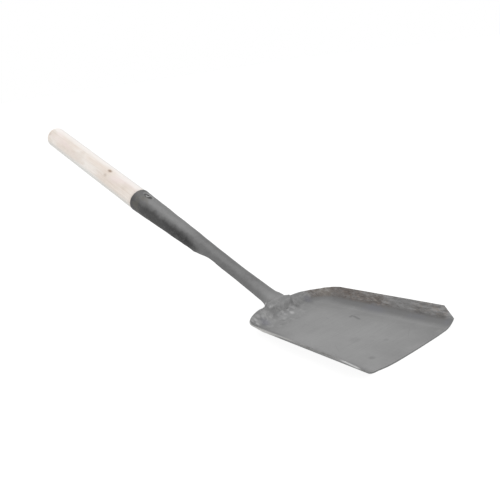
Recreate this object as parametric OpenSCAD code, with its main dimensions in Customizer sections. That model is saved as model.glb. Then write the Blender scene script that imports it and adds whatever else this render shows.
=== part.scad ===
// Short-handled scoop shovel: a pressed sheet-steel tray, a shank made from one strip (channel neck
// rolled up into a tapered socket) lapped over the tray's back wall and welded there, a round wooden
// handle driven into the socket, and the nail that holds it.
// Millimetres. The origin lies on the flat underside of the tray, on the centre line.
// +Z is up, the tray's open front faces -Y and the handle rises towards +Y.

/* [Tray] */
// distance from the origin forward to the front corners
front_run = 89.7; // [70:0.1:140]
// how far the front edge bows out between its corners
front_bow = 1.5; // [0:0.1:6]
// distance from the front corners to the foot of the back wall
tray_depth = 172.4; // [150:0.1:240]
// half width of the flat floor at the front edge
floor_half_front = 56.8; // [45:0.1:90]
// how much the side folds close in towards the back, degrees
side_taper = 3.75; // [0:0.05:10]
// plan radius of the fold in the back corners
corner_r = 10; // [6:0.5:40]
// thickness of the tray's sheet
sheet = 1.5; // [1:0.1:3]
// inside radius of the fold between floor and wall
fold_r = 26; // [3:0.5:30]
// slope of the walls from the floor
wall_angle = 42; // [30:1:80]
// height of the side walls at their front corners
wall_front = 17.2; // [12:0.2:40]
// height of the side walls where the back corners start
wall_back = 16.1; // [10:0.1:40]
// how much lower the rim is in the middle of each back corner
corner_dip = 1.3; // [0:0.1:4]
// height of the back wall beside the shank
wall_mid = 17.4; // [8:0.2:30]
// height at which the slanting corner cut starts on the front edge
cut_start = 8.5; // [3:0.5:15]
// how far back the corner cut reaches at the rim
cut_run = 17.3; // [5:0.1:40]

/* [Shank] */
// angle of the handle above the tray's floor
lift = 21.2; // [10:0.1:40]
// height of the handle's axis above the underside, at the back rim
axis_height = 8.3; // [2:0.1:20]
// thickness of the shank's strip
strip = 1.8; // [1.2:0.1:3]
// distance along the axis from the back rim to the socket's mouth
socket_end = 318.5; // [250:0.5:400]
// outside radius of the socket at its mouth
socket_r = 17.9; // [14:0.1:24]
// length of the tongue that laps down the inside of the back wall
lap = 8; // [7:0.5:14]
// radius over which the tongue bends at the rim
bend_r = 4; // [2:0.5:8]
// how far the tongue sits off the centre line, towards -X
tongue_off = 3.2; // [0:0.1:5]

/* [Handle] */
// radius of the wooden handle
grip_r = 17.5; // [14:0.5:22]
// length of wood outside the socket
grip_len = 271.5; // [150:0.5:500]
// length of wood inside the socket
tenon_len = 86; // [50:1:110]
// radius of the rounding at the handle's free end
end_round = 9; // [2:0.5:15]

/* [Nail] */
// distance of the nail from the socket's mouth
nail_back = 21; // [10:1:40]
// radius of the nail's shaft
nail_r = 1.6; // [1:0.1:3]
// radius of the nail's head
nail_head_r = 3.6; // [2:0.1:6]
// length of the nail's shaft
nail_len = 27; // [15:1:32]

/* [Weld] */
// size of the weld bead round the tongue
bead_r = 2.8; // [1:0.1:3.5]
// depth of the bead's ripples
bead_ripple = 0.3; // [0:0.05:0.6]

/* [Hidden] */
fr = fold_r + sheet;                                   // outside radius of the fold
arc_z = fr * (1 - cos(wall_angle));                    // height of the fold
side_steps = 10;
corner_steps = 9;
back_steps = 6;
front_steps = 14;
fold_steps = 7;
rings = fold_steps + 2;                                // last ring index: foot, fold, wall middle, rim
cy = tray_depth - corner_r;                            // centre of the back corner
cx = (floor_half_front * cos(side_taper) - cy * sin(side_taper) - corner_r) / cos(side_taper);
stations = side_steps + corner_steps + back_steps;     // half of the tray, front corner to centre line

// wall height at a station of the half tray
function wall_h(j) =
    j <= side_steps ? wall_front + (wall_back - wall_front) * j / side_steps :
    j <= side_steps + corner_steps ? wall_back - corner_dip * sin(180 * (j - side_steps) / corner_steps) :
    wall_back + (wall_mid - wall_back) * pow((j - side_steps - corner_steps) / back_steps, 1.5);

// run and height of a ring of the outer skin (s = 0) or inner skin (s = 1)
function ring_o(i, h, s) =
    i <= fold_steps ? (fr - s * sheet) * sin(wall_angle * i / fold_steps) :
    fr * sin(wall_angle) + (i - fold_steps) / 2 * (h - arc_z) / tan(wall_angle) - s * sheet * sin(wall_angle);
function ring_z(i, h, s) =
    i <= fold_steps ? s * sheet + (fr - s * sheet) * (1 - cos(wall_angle * i / fold_steps)) :
    arc_z + (i - fold_steps) / 2 * (h - arc_z) + s * sheet * cos(wall_angle);

// start of a ring at the front: the corner cut slants back above cut_start
function ring_y0(i) =
    max(0, (ring_z(i, wall_front, 0) - cut_start) * cut_run / (wall_front - cut_start));

function side_pt(j, i, s) =
    let (h = wall_h(j), o = ring_o(i, h, s), y0 = ring_y0(i), y1 = cy + (corner_r + o) * sin(side_taper),
         y = y0 + (y1 - y0) * j / side_steps)
    [(floor_half_front * cos(side_taper) + o - y * sin(side_taper)) / cos(side_taper), y, ring_z(i, h, s)];
function corner_pt(j, i, s) =
    let (h = wall_h(j), o = ring_o(i, h, s),
         b = side_taper + (90 - side_taper) * (j - side_steps) / corner_steps)
    [cx + (corner_r + o) * cos(b), cy + (corner_r + o) * sin(b), ring_z(i, h, s)];
function back_pt(j, i, s) =
    let (h = wall_h(j), k = j - side_steps - corner_steps)
    [cx * (1 - k / back_steps), tray_depth + ring_o(i, h, s), ring_z(i, h, s)];
function half_pt(j, i, s) =
    j <= side_steps ? side_pt(j, i, s) : j <= side_steps + corner_steps ? corner_pt(j, i, s) : back_pt(j, i, s);
function tray_pt(j, i, s) =
    j <= stations ? half_pt(j, i, s) :
    let (p = half_pt(2 * stations - j, i, s)) [-p[0], p[1], p[2]];

tn = 2 * stations;                                     // last station
tw = rings + 1;                                        // points per station and skin
function to(j, i) = j * tw + i;                        // outer point index
function ti(j, i) = (tn + 1) * tw + j * tw + i;        // inner point index

// the bowed front edge, from the +X corner to the -X corner, outer skin (s = 0) or inner skin (s = 1)
function front_pt(k, s) =
    let (q = 1 - 2 * k / front_steps) [floor_half_front * q, -front_bow * (1 - pow(abs(q), 2.3)), s * sheet];
function tf(k, s) =
    k == 0 ? (s == 0 ? to(0, 0) : ti(0, 0)) : k == front_steps ? (s == 0 ? to(tn, 0) : ti(tn, 0)) :
    2 * (tn + 1) * tw + s * (front_steps - 1) + k - 1;

// rim of the back wall at the shank, inner edge, in the plane of symmetry
rim_y = tray_depth + ring_o(rings, wall_mid, 1);
rim_z = ring_z(rings, wall_mid, 1);

// handle frame: distance t along the axis from the back rim, height u above it
ax_y = tray_depth + ring_o(rings, wall_mid, 0);
function hy(t, u) = ax_y + t * cos(lift) - u * sin(lift);
function hz(t, u) = axis_height + t * sin(lift) + u * cos(lift);

// small end of the closed socket: distance along the axis, crown height and outside radius
neck_end = 185;
neck_top = 15.3;
neck_r = 13.4;

// a station of the shank: crown [y, z], normal angle, x radius, drop radius, half spread
function flat_st(v, w) = [
    rim_y - v * cos(wall_angle) - strip * sin(wall_angle), rim_z - v * sin(wall_angle) + strip * cos(wall_angle),
    wall_angle, w / sin(5), 0, 5];
function bend_st(a, w, fall) = [
    rim_y + bend_r * sin(wall_angle) - (bend_r + strip) * sin(a),
    rim_z - bend_r * cos(wall_angle) + (bend_r + strip) * cos(a), a, w / sin(5), fall / (1 - cos(5)), 5];
function neck_st(t, top, w, drop, spread) = [
    hy(t, top), hz(t, top), lift, w / sin(spread), drop / (1 - cos(spread)), spread];
function tube_st(t, top, r, spread) = [hy(t, top), hz(t, top), lift, r, r, spread];

tongue = [[0, 12], [0.35, 13.8], [1, 15.4], [2, 16.8], [3.2, 18], [4.8, 19], [7, 19.6]];
shank_st = concat(
    [for (q = tongue) flat_st(lap - q[0], q[1])],
    [bend_st(40, 19.8, 0), bend_st(33, 19.8, 0.1), bend_st(26, 19.4, 0.4), bend_st(20.7, 19, 0.9)],
    [neck_st(6, 11.7, 18.5, 4, 45), neck_st(8, 11.4, 17.6, 7.2, 58), neck_st(12, 11.2, 16, 8.9, 68),
     neck_st(18, 11, 14.8, 9.2, 72), neck_st(28, 10.8, 14, 9.2, 74), neck_st(42, 10.9, 13.5, 9.1, 73),
     neck_st(58, 11.1, 13, 9.1, 72), neck_st(75, 11.4, 12.7, 9.2, 72), neck_st(90, 11.7, 12.7, 9.2, 72),
     neck_st(108, 12.1, 12.7, 9.3, 72)],
    [tube_st(124, 12.6, 13.3, 71), tube_st(132, 12.9, 13.3, 74), tube_st(138, 13.15, 13.3, 79),
     tube_st(143, 13.4, 13.3, 85), tube_st(148, 13.6, 13.25, 92), tube_st(153, 13.85, 13.2, 99),
     tube_st(158, 14.15, 13.15, 107), tube_st(163, 14.4, 13.15, 118), tube_st(167.5, 14.7, 13.15, 133),
     tube_st(172, 14.9, 13.2, 150), tube_st(177, 15.1, 13.25, 165), tube_st(neck_end, neck_top, neck_r, 174)],
    [for (k = [1:8]) let (f = k / 8, t = neck_end + (socket_end - neck_end) * f)
        tube_st(t, neck_top + (socket_r - neck_top) * f, neck_r + (socket_r - neck_r) * f, 174 + 2.4 * f)]);
arc_n = 32;
sn = len(shank_st) - 1;
sw = arc_n + 1;
// the strip runs in from the tongue's offset to the centre line over this length from the rim
lead_in = 13;
function off_x(y) = let (f = min(1, max(0, (y - rim_y + 1) / lead_in))) -tongue_off * (1 - f * f * (3 - 2 * f));
function shank_pt(q, k, s) =
    let (a = q[5] * (2 * k / arc_n - 1), d = s * strip + (q[4] - s * strip) * (1 - cos(a)))
    [off_x(q[0]) + (q[3] - s * strip) * sin(a), q[0] + d * sin(q[2]), q[1] - d * cos(q[2])];
function so(j, k) = j * sw + k;
function si(j, k) = (sn + 1) * sw + j * sw + k;

// the socket's centre line climbs a little towards the neck, so the wooden tenon is tipped to match
tip = atan((neck_top - neck_r) / (socket_end - neck_end));
tenon_slope = (socket_r - neck_r) / (socket_end - neck_end);

// outline of the tongue on the wall, half of it, from the rim to the centre line
bead_half = concat([for (k = [len(tongue) - 1:-1:0]) [tongue[k][1], lap - tongue[k][0]]],
    [[8, lap], [4, lap], [0, lap]]);
bead_path = concat(bead_half, [for (k = [len(bead_half) - 2:-1:0]) [-bead_half[k][0], bead_half[k][1]]]);
function mix(a, b, f) = a + (b - a) * f;
function bead_at(f) = let (n = len(bead_path) - 1, k = min(floor(f * n), n - 1))
    mix(bead_path[k], bead_path[k + 1], f * n - k);
bead_n = 90;
function bead_dir(k) =
    let (a = bead_at(max(k - 2, 0) / bead_n), b = bead_at(min(k + 2, bead_n) / bead_n), d = b - a)
    [-d[1], d[0]] / -norm(d);
function bead_pt(k, g) =
    let (p = bead_at(k / bead_n), m = bead_dir(k), r = (bead_r + bead_ripple * sin(k * 80)) * min(1, 0.45 +
         min(k, bead_n - k) / 8),
         q = g > 5 ? p : p + m * r * cos(18 * g), w = g > 5 ? 0 : r * sin(18 * g))
    [q[0] - tongue_off, rim_y - q[1] * cos(wall_angle) - w * sin(wall_angle),
     rim_z - q[1] * sin(wall_angle) + w * cos(wall_angle)];

// floor in strips across the tray, with a fan at the bowed front and one at the back wall's foot
fan = side_steps + corner_steps;
function floor_tri(j) = [
    [to(j, 0), to(j + 1, 0), to(tn - j - 1, 0)], [to(j, 0), to(tn - j - 1, 0), to(tn - j, 0)],
    [ti(j, 0), ti(tn - j - 1, 0), ti(j + 1, 0)], [ti(j, 0), ti(tn - j, 0), ti(tn - j - 1, 0)]];

module place() { translate([0, -front_run, 0]) children(); }
module on_axis(t) { translate([0, hy(t, 0), hz(t, 0)]) rotate([lift - 90, 0, 0]) children(); }

module tray() {
    color([0.55, 0.56, 0.57]) place() polyhedron(
        points = concat(
            [for (j = [0:tn], i = [0:rings]) tray_pt(j, i, 0)],
            [for (j = [0:tn], i = [0:rings]) tray_pt(j, i, 1)],
            [for (s = [0, 1], k = [1:front_steps - 1]) front_pt(k, s)]),
        faces = concat(
            [for (j = [1:fan - 2]) each floor_tri(j)],
            [for (k = [0:front_steps - 1]) [to(1, 0), tf(k + 1, 0), tf(k, 0)]],
            [for (k = [0:front_steps - 1]) [ti(1, 0), tf(k, 1), tf(k + 1, 1)]],
            [[to(1, 0), to(tn - 1, 0), to(tn, 0)], [ti(1, 0), ti(tn, 0), ti(tn - 1, 0)]],
            [for (k = [0:front_steps - 1]) [tf(k, 0), tf(k + 1, 0), tf(k + 1, 1), tf(k, 1)]],
            [for (j = [fan:tn - fan - 1]) [to(fan - 1, 0), to(j, 0), to(j + 1, 0)]],
            [[to(fan - 1, 0), to(tn - fan, 0), to(tn - fan + 1, 0)]],
            [for (j = [fan:tn - fan - 1]) [ti(fan - 1, 0), ti(j + 1, 0), ti(j, 0)]],
            [[ti(fan - 1, 0), ti(tn - fan + 1, 0), ti(tn - fan, 0)]],
            [for (j = [0:tn - 1], i = [0:rings - 1]) [to(j, i), to(j + 1, i + 1), to(j + 1, i)]],
            [for (j = [0:tn - 1], i = [0:rings - 1]) [to(j, i), to(j, i + 1), to(j + 1, i + 1)]],
            [for (j = [0:tn - 1], i = [0:rings - 1]) [ti(j, i), ti(j + 1, i), ti(j + 1, i + 1)]],
            [for (j = [0:tn - 1], i = [0:rings - 1]) [ti(j, i), ti(j + 1, i + 1), ti(j, i + 1)]],
            [for (j = [0:tn - 1]) [to(j, rings), ti(j + 1, rings), to(j + 1, rings)]],
            [for (j = [0:tn - 1]) [to(j, rings), ti(j, rings), ti(j + 1, rings)]],
            [for (i = [0:rings - 1]) [to(0, i), ti(0, i), ti(0, i + 1)]],
            [for (i = [0:rings - 1]) [to(0, i), ti(0, i + 1), to(0, i + 1)]],
            [for (i = [0:rings - 1]) [to(tn, i), ti(tn, i + 1), ti(tn, i)]],
            [for (i = [0:rings - 1]) [to(tn, i), to(tn, i + 1), ti(tn, i + 1)]]));
}

module shank_sheet() {
    polyhedron(
        points = concat(
            [for (q = shank_st, k = [0:arc_n]) shank_pt(q, k, 0)],
            [for (q = shank_st, k = [0:arc_n]) shank_pt(q, k, 1)]),
        faces = concat(
            [for (j = [0:sn - 1], k = [0:arc_n - 1]) [so(j, k), so(j + 1, k), so(j + 1, k + 1)]],
            [for (j = [0:sn - 1], k = [0:arc_n - 1]) [so(j, k), so(j + 1, k + 1), so(j, k + 1)]],
            [for (j = [0:sn - 1], k = [0:arc_n - 1]) [si(j, k), si(j + 1, k + 1), si(j + 1, k)]],
            [for (j = [0:sn - 1], k = [0:arc_n - 1]) [si(j, k), si(j, k + 1), si(j + 1, k + 1)]],
            [for (j = [0:sn - 1]) [so(j, 0), si(j + 1, 0), so(j + 1, 0)]],
            [for (j = [0:sn - 1]) [so(j, 0), si(j, 0), si(j + 1, 0)]],
            [for (j = [0:sn - 1]) [so(j, arc_n), so(j + 1, arc_n), si(j + 1, arc_n)]],
            [for (j = [0:sn - 1]) [so(j, arc_n), si(j + 1, arc_n), si(j, arc_n)]],
            [for (k = [0:arc_n - 1]) [so(0, k), so(0, k + 1), si(0, k + 1)]],
            [for (k = [0:arc_n - 1]) [so(0, k), si(0, k + 1), si(0, k)]],
            [for (k = [0:arc_n - 1]) [so(sn, k), si(sn, k + 1), so(sn, k + 1)]],
            [for (k = [0:arc_n - 1]) [so(sn, k), si(sn, k), si(sn, k + 1)]]));
}

nail_t = socket_end - nail_back;
nail_top = neck_top + (socket_r - neck_top) * (nail_t - neck_end) / (socket_end - neck_end);
// the nail's hole, from a height above the socket's surface down to a depth below it
module nail_hole(over, depth) {
    translate([0, hy(nail_t, nail_top + over), hz(nail_t, nail_top + over)]) rotate([lift + 180, 0, 0])
        cylinder(r = nail_r, h = over + depth, $fn = 48);
}

module shank() {
    color([0.42, 0.43, 0.44]) place() difference() {
        shank_sheet();
        nail_hole(2, 6);
    }
}

module weld() {
    color([0.38, 0.38, 0.39]) place() polyhedron(
        points = [for (k = [0:bead_n], g = [0:6]) bead_pt(k, g)],
        faces = concat(
            [for (k = [0:bead_n - 1], g = [0:6]) let (n = (g + 1) % 7) [k * 7 + g, k * 7 + 7 + n, k * 7 + n]],
            [for (k = [0:bead_n - 1], g = [0:6]) let (n = (g + 1) % 7) [k * 7 + g, k * 7 + 7 + g, k * 7 + 7 + n]],
            [for (g = [0:4]) [6, g, g + 1]],
            [for (g = [0:4]) let (b = bead_n * 7) [b + 6, b + g + 1, b + g]]));
}

module handle() {
    color([0.9, 0.86, 0.78]) place() difference() {
        union() {
            on_axis(socket_end + 0.2) rotate_extrude($fn = 120) polygon(concat(
                [[0, 0], [socket_r - strip - 0.3, 0], [grip_r - 0.4, 0.1], [grip_r, 0.6]],
                [for (a = [0:10:90])
                    [grip_r - end_round * (1 - cos(a)), grip_len - 0.2 - end_round * 0.8 * (1 - sin(a))]],
                [[0, grip_len - 0.2]]));
            on_axis(socket_end + 1) rotate([180 - tip, 0, 0])
                cylinder(r1 = socket_r - strip - 0.25, r2 = socket_r - strip - 0.25 - tenon_slope * tenon_len,
                    h = tenon_len, $fn = 120);
        }
        nail_hole(0, nail_len);
    }
}

module nail() {
    color([0.5, 0.5, 0.51]) place()
        translate([0, hy(nail_t, nail_top), hz(nail_t, nail_top)]) rotate([lift, 0, 0])
            rotate_extrude($fn = 60) polygon([[0, -nail_len], [0.3, -nail_len], [nail_r, 4 - nail_len],
                [nail_r, 0], [nail_head_r, 0], [nail_head_r, 0.5], [nail_head_r * 0.86, 0.95],
                [nail_head_r * 0.55, 1.3], [0, 1.4]]);
}

tray();
shank();
weld();
handle();
nail();
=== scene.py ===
# Looks for the short-handled scoop shovel: sheet-steel tray, shank strip rolled into a socket,
# weld bead, turned wooden handle and the nail that holds it. Metres, same frame as the CAD.
import math

import bmesh
import bpy
import numpy as np
from mathutils import Matrix, Vector, noise


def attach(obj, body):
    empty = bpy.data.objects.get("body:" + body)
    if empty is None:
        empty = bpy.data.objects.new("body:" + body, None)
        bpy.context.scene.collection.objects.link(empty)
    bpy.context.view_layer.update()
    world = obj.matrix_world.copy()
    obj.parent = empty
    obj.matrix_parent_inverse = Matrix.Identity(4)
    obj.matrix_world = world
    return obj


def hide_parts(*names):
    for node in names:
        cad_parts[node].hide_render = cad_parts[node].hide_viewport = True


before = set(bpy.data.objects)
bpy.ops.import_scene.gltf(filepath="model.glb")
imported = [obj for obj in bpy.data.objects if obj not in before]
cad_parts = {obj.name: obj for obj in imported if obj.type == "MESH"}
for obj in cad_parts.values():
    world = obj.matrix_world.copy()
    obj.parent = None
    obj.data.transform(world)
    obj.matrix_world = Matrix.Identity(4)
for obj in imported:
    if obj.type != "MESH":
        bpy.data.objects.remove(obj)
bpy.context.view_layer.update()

scene = bpy.context.scene
MM = 0.001
rad = math.radians

# ---------------------------------------------------------------- sizes, as in the CAD (mm)
FRONT_RUN, TRAY_DEPTH, FLOOR_HALF, TAPER, CORNER_R, BOW = 89.7, 172.4, 56.8, rad(3.75), 10.0, 1.5
SHEET, FOLD_R, WALL, WALL_FRONT, WALL_BACK, WALL_MID, DIP = 1.5, 26.0, rad(42), 17.2, 16.1, 17.4, 1.3
CUT_START, CUT_RUN = 8.5, 17.3
LIFT, AXIS_H, STRIP, SOCKET_END, SOCKET_R, LAP, BEND_R = rad(21.2), 8.3, 1.8, 318.5, 17.9, 8.0, 4.0
NECK_END, NECK_TOP, NECK_R = 185.0, 15.3, 13.4
TONGUE_OFF, LEAD_IN = 3.2, 13.0
GRIP_R, GRIP_LEN, TENON_LEN, END_ROUND, TENON_GAP = 17.5, 271.5, 86.0, 9.0, 0.35
NAIL_BACK = 21.0
# wear and dressing that only the looks have (mm)
CORNER_WEAR, RIM_SLIDE, TONGUE_DRESSED, FLARE_UP, FLARE_OUT = 2.4, 1.25, 1.35, 1.2, 0.7
TRAY_EDGE_ROUND, SHANK_EDGE_ROUND = 0.34, 0.35

FR = FOLD_R + SHEET
ARC_Z = FR * (1 - math.cos(WALL))
CY = TRAY_DEPTH - CORNER_R
CX = (FLOOR_HALF * math.cos(TAPER) - CY * math.sin(TAPER) - CORNER_R) / math.cos(TAPER)


def smooth(x, a, b):
    t = np.clip((np.asarray(x, float) - a) / (b - a), 0, 1)
    return t * t * (3 - 2 * t)


def gnoise(points, scale, seed=0.0):
    """Perlin noise from -1 to 1 at each point."""
    off = Vector((seed * 7.13, seed * 3.71, seed * 5.37))
    return np.array([noise.noise(Vector(p) * scale + off) for p in points])


def new_mesh(name, verts, faces):
    """A smooth-shaded object from vertices in metres."""
    me = bpy.data.meshes.new(name)
    me.from_pydata([tuple(v) for v in verts], [], [tuple(int(i) for i in f) for f in faces])
    me.validate()
    me.polygons.foreach_set("use_smooth", [True] * len(me.polygons))
    me.update()
    ob = bpy.data.objects.new(name, me)
    scene.collection.objects.link(ob)
    return ob


def point_attribute(ob, name, values):
    a = ob.data.attributes.new(name, "FLOAT", "POINT")
    a.data.foreach_set("value", np.asarray(values, np.float32))


def round_edges(ob, width):
    m = ob.modifiers.new("worn_edges", "BEVEL")
    m.width, m.segments, m.limit_method, m.angle_limit = width * MM, 2, "ANGLE", rad(50)


def face_outwards(ob):
    bm = bmesh.new()
    bm.from_mesh(ob.data)
    bmesh.ops.recalc_face_normals(bm, faces=bm.faces)
    bm.to_mesh(ob.data)
    bm.free()


def tube_faces(rings, n, first=0, inside_out=False):
    """Quads between rings of n vertices that follow one another from vertex first."""
    out = []
    for j in range(rings - 1):
        for g in range(n):
            a, b, h = first + j * n, first + (j + 1) * n, (g + 1) % n
            out.append([a + g, b + g, b + h, a + h] if inside_out else [a + g, a + h, b + h, b + g])
    return out


# ---------------------------------------------------------------- tray
def ring(v, h):
    """Run and height of the outer skin at profile place v: 0 foot, 1 top of the fold, 2 rim."""
    if v <= 1:
        a = WALL * v
        return FR * math.sin(a), FR * (1 - math.cos(a))
    f = v - 1
    return FR * math.sin(WALL) + f * (h - ARC_Z) / math.tan(WALL), ARC_Z + f * (h - ARC_Z)


def tray_point(kind, f, v, side_f):
    """Outer skin: kind side, corner or back; f along that kind, v up the profile, side_f sets the height."""
    h = {"side": WALL_FRONT + (WALL_BACK - WALL_FRONT) * side_f,
         "corner": WALL_BACK - DIP * math.sin(math.pi * f),
         "back": WALL_BACK + (WALL_MID - WALL_BACK) * side_f ** 1.5}[kind]
    o, z = ring(v, h)
    if kind == "side":
        zf = ring(v, WALL_FRONT)[1]
        y0 = max(0.0, (zf - CUT_START) * CUT_RUN / (WALL_FRONT - CUT_START))
        y1 = CY + (CORNER_R + o) * math.sin(TAPER)
        y = y0 + (y1 - y0) * f
        return [(FLOOR_HALF * math.cos(TAPER) + o - y * math.sin(TAPER)) / math.cos(TAPER), y, z]
    if kind == "corner":
        b = TAPER + (math.pi / 2 - TAPER) * f
        return [CX + (CORNER_R + o) * math.cos(b), CY + (CORNER_R + o) * math.sin(b), z]
    return [CX * (1 - f), TRAY_DEPTH + o, z]


SIDE_N, CORNER_N, BACK_N = 70, 40, 34
half = [("side", j / SIDE_N, j / SIDE_N) for j in range(SIDE_N)]
half += [("corner", j / CORNER_N, 0) for j in range(CORNER_N)]
half += [("back", j / BACK_N, j / BACK_N) for j in range(BACK_N + 1)]
FOLD_N, WALL_N = 16, 14
levels = [i / FOLD_N for i in range(FOLD_N + 1)] + [1 + i / WALL_N for i in range(1, WALL_N + 1)]
n_half, n_lev = len(half), len(levels)

verts, wall_v, corner_w, back_w = [], [], [], []
index = {}


def add_station(j, mirror):
    kind, f, sf = half[j]
    for i, v in enumerate(levels):
        p = tray_point(kind, f, v, sf)
        if mirror:
            p[0] = -p[0]
        index[(j, mirror, i)] = len(verts)
        verts.append(p)
        wall_v.append(v)
        corner_w.append(math.sin(math.pi * f) if kind == "corner" else 0.0)
        back_w.append(1.0 if kind == "back" else (f if kind == "corner" else 0.0))


for j in range(n_half):
    add_station(j, False)
for j in range(n_half - 1):
    add_station(j, True)
for i in range(n_lev):
    index[(n_half - 1, True, i)] = index[(n_half - 1, False, i)]

faces = []
for mirror in (False, True):
    for j in range(n_half - 1):
        for i in range(n_lev - 1):
            q = [index[(j, mirror, i)], index[(j, mirror, i + 1)],
                 index[(j + 1, mirror, i + 1)], index[(j + 1, mirror, i)]]
            faces.append(q[::-1] if mirror else q)
# the floor: one row across the tray at each side and corner station
rows = SIDE_N + CORNER_N + 1
cols = 2 * BACK_N + 1
grid = np.zeros((rows, cols), int)
for r in range(rows):
    a, b = index[(r, True, 0)], index[(r, False, 0)]
    pa, pb = np.array(verts[a]), np.array(verts[b])
    for c in range(cols):
        if c == 0:
            grid[r, c] = a
        elif c == cols - 1:
            grid[r, c] = b
        elif r == rows - 1:
            k = SIDE_N + CORNER_N + (c if c <= BACK_N else cols - 1 - c)
            grid[r, c] = index[(k, c < BACK_N, 0)]
        else:
            grid[r, c] = len(verts)
            verts.append(list(pa + (pb - pa) * c / (cols - 1)))
            for per_vertex in (wall_v, corner_w, back_w):
                per_vertex.append(0.0)
for r in range(rows - 1):
    for c in range(cols - 1):
        faces.append([grid[r, c], grid[r, c + 1], grid[r + 1, c + 1], grid[r + 1, c]])

P = np.array(verts)
wall_v, corner_w, back_w = map(np.array, (wall_v, corner_w, back_w))
# wrinkles from forming the corners, a slightly wavy rim, hammer marks by the weld, a buckled floor
side_sign = np.sign(P[:, 0])
outward = np.stack([np.where(wall_v > 0, side_sign, 0) * (1 - back_w), back_w, np.zeros(len(P))], 1)
cor = corner_w > 0
d = P[cor][:, :2] - np.stack([side_sign[cor] * CX, np.full(cor.sum(), CY)], 1)
outward[cor, :2] = d / np.linalg.norm(d, axis=1)[:, None]
lift_in = smooth(wall_v, 0.2, 1.6)
polar = np.arctan2(P[:, 1] - CY, np.abs(P[:, 0]) - CX)
pleat_at = np.stack([polar * 3.4 * side_sign, wall_v * 0.35, side_sign * 2.0], 1)
pleats = (1 - 2 * np.abs(gnoise(pleat_at, 1.0, 3))) * corner_w * smooth(wall_v, 0.3, 1.2) * 0.55
wave = gnoise(P, 0.020, 1) * smooth(wall_v, 0.7, 2.0) * 0.45
near_weld = np.exp(-((np.abs(P[:, 0]) / 52.0) ** 4)) * np.clip(back_w * 1.3, 0, 1)
near_weld = near_weld * smooth(wall_v, 0.15, 0.8)
dents = gnoise(P, 0.16, 5) * near_weld * 0.42 + gnoise(P, 0.33, 6) * near_weld * 0.16
shift = (pleats + wave + dents)[:, None] * (outward * math.sin(WALL) - np.array([0, 0, math.cos(WALL)]))
P = P + shift
flat = 1 - smooth(wall_v, 0.0, 0.9)
inside = smooth(P[:, 1], 0, 25) * flat
buckle = (gnoise(P, 0.017, 8) * 0.5 + 0.5) * 0.38 + (gnoise(P, 0.05, 9) * 0.5 + 0.5) * 0.10
P[:, 2] += buckle * inside
P[:, 1] += (gnoise(P, 0.035, 11) * 0.22) * (1 - smooth(P[:, 1], 0, 6)) * flat
# the bowed front edge, and the near front corner worn round
lead = (1 - smooth(P[:, 1], 0, 30)) * flat
P[:, 1] -= BOW * np.clip(1 - (np.abs(P[:, 0]) / FLOOR_HALF) ** 2.3, 0, 1) * lead
worn = np.exp(-(((P[:, 0] + FLOOR_HALF + 3) / 13) ** 2)) * (1 - smooth(P[:, 1], 0, 24))
P[:, 1] += CORNER_WEAR * worn
# the rim stands a little lower between the tongue and the far back corner
low_rim = np.exp(-(((P[:, 0] - 51) / 18) ** 4)) * np.clip(1.5 * back_w, 0, 1) * smooth(wall_v, 1.0, 2.0)
P -= RIM_SLIDE * low_rim[:, None] * (outward * math.cos(WALL) + np.array([0, 0, math.sin(WALL)]))
P[:, 1] -= FRONT_RUN

tray = new_mesh("tray_sheet", P * MM, faces)
point_attribute(tray, "wall", wall_v)
m = tray.modifiers.new("thickness", "SOLIDIFY")
m.thickness, m.offset, m.use_even_offset, m.use_quality_normals = SHEET * MM, 1.0, True, True
m.material_offset_rim, m.material_offset = 1, 2
round_edges(tray, TRAY_EDGE_ROUND)


# ---------------------------------------------------------------- handle frame
RIM_O = ring(2, WALL_MID)[0]
RIM_Y = TRAY_DEPTH + RIM_O - SHEET * math.sin(WALL)
RIM_Z = WALL_MID + SHEET * math.cos(WALL)
AX_Y = TRAY_DEPTH + RIM_O


def hy(t, u):
    return AX_Y + t * math.cos(LIFT) - u * math.sin(LIFT)


def hz(t, u):
    return AXIS_H + t * math.sin(LIFT) + u * math.cos(LIFT)


def at(t, u, x=0.0):
    """A point in metres: t along the handle's axis, u above it, x across."""
    return np.array([x, hy(t, u) - FRONT_RUN, hz(t, u)]) * MM


AXIS = np.array([0, math.cos(LIFT), math.sin(LIFT)])
UPN = np.array([0, -math.sin(LIFT), math.cos(LIFT)])


# ---------------------------------------------------------------- shank
# a station is [y and z of the crown, its tilt, the section's radius across, its radius down, half its sweep]
def flat_st(v, w):
    """Flat tongue: v down the back wall from the rim, half-width w."""
    return [RIM_Y - v * math.cos(WALL) - STRIP * math.sin(WALL),
            RIM_Z - v * math.sin(WALL) + STRIP * math.cos(WALL), WALL, w / math.sin(rad(5)), 0, rad(5)]


def bend_st(a, w, fall):
    a, s = rad(a), rad(5)
    return [RIM_Y + BEND_R * math.sin(WALL) - (BEND_R + STRIP) * math.sin(a),
            RIM_Z - BEND_R * math.cos(WALL) + (BEND_R + STRIP) * math.cos(a), a,
            w / math.sin(s), fall / (1 - math.cos(s)), s]


def neck_st(t, top, w, drop, spread):
    s = rad(spread)
    return [hy(t, top), hz(t, top), LIFT, w / math.sin(s), drop / (1 - math.cos(s)), s]


def tube_st(t, top, r, spread):
    return [hy(t, top), hz(t, top), LIFT, r, r, rad(spread)]


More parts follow.
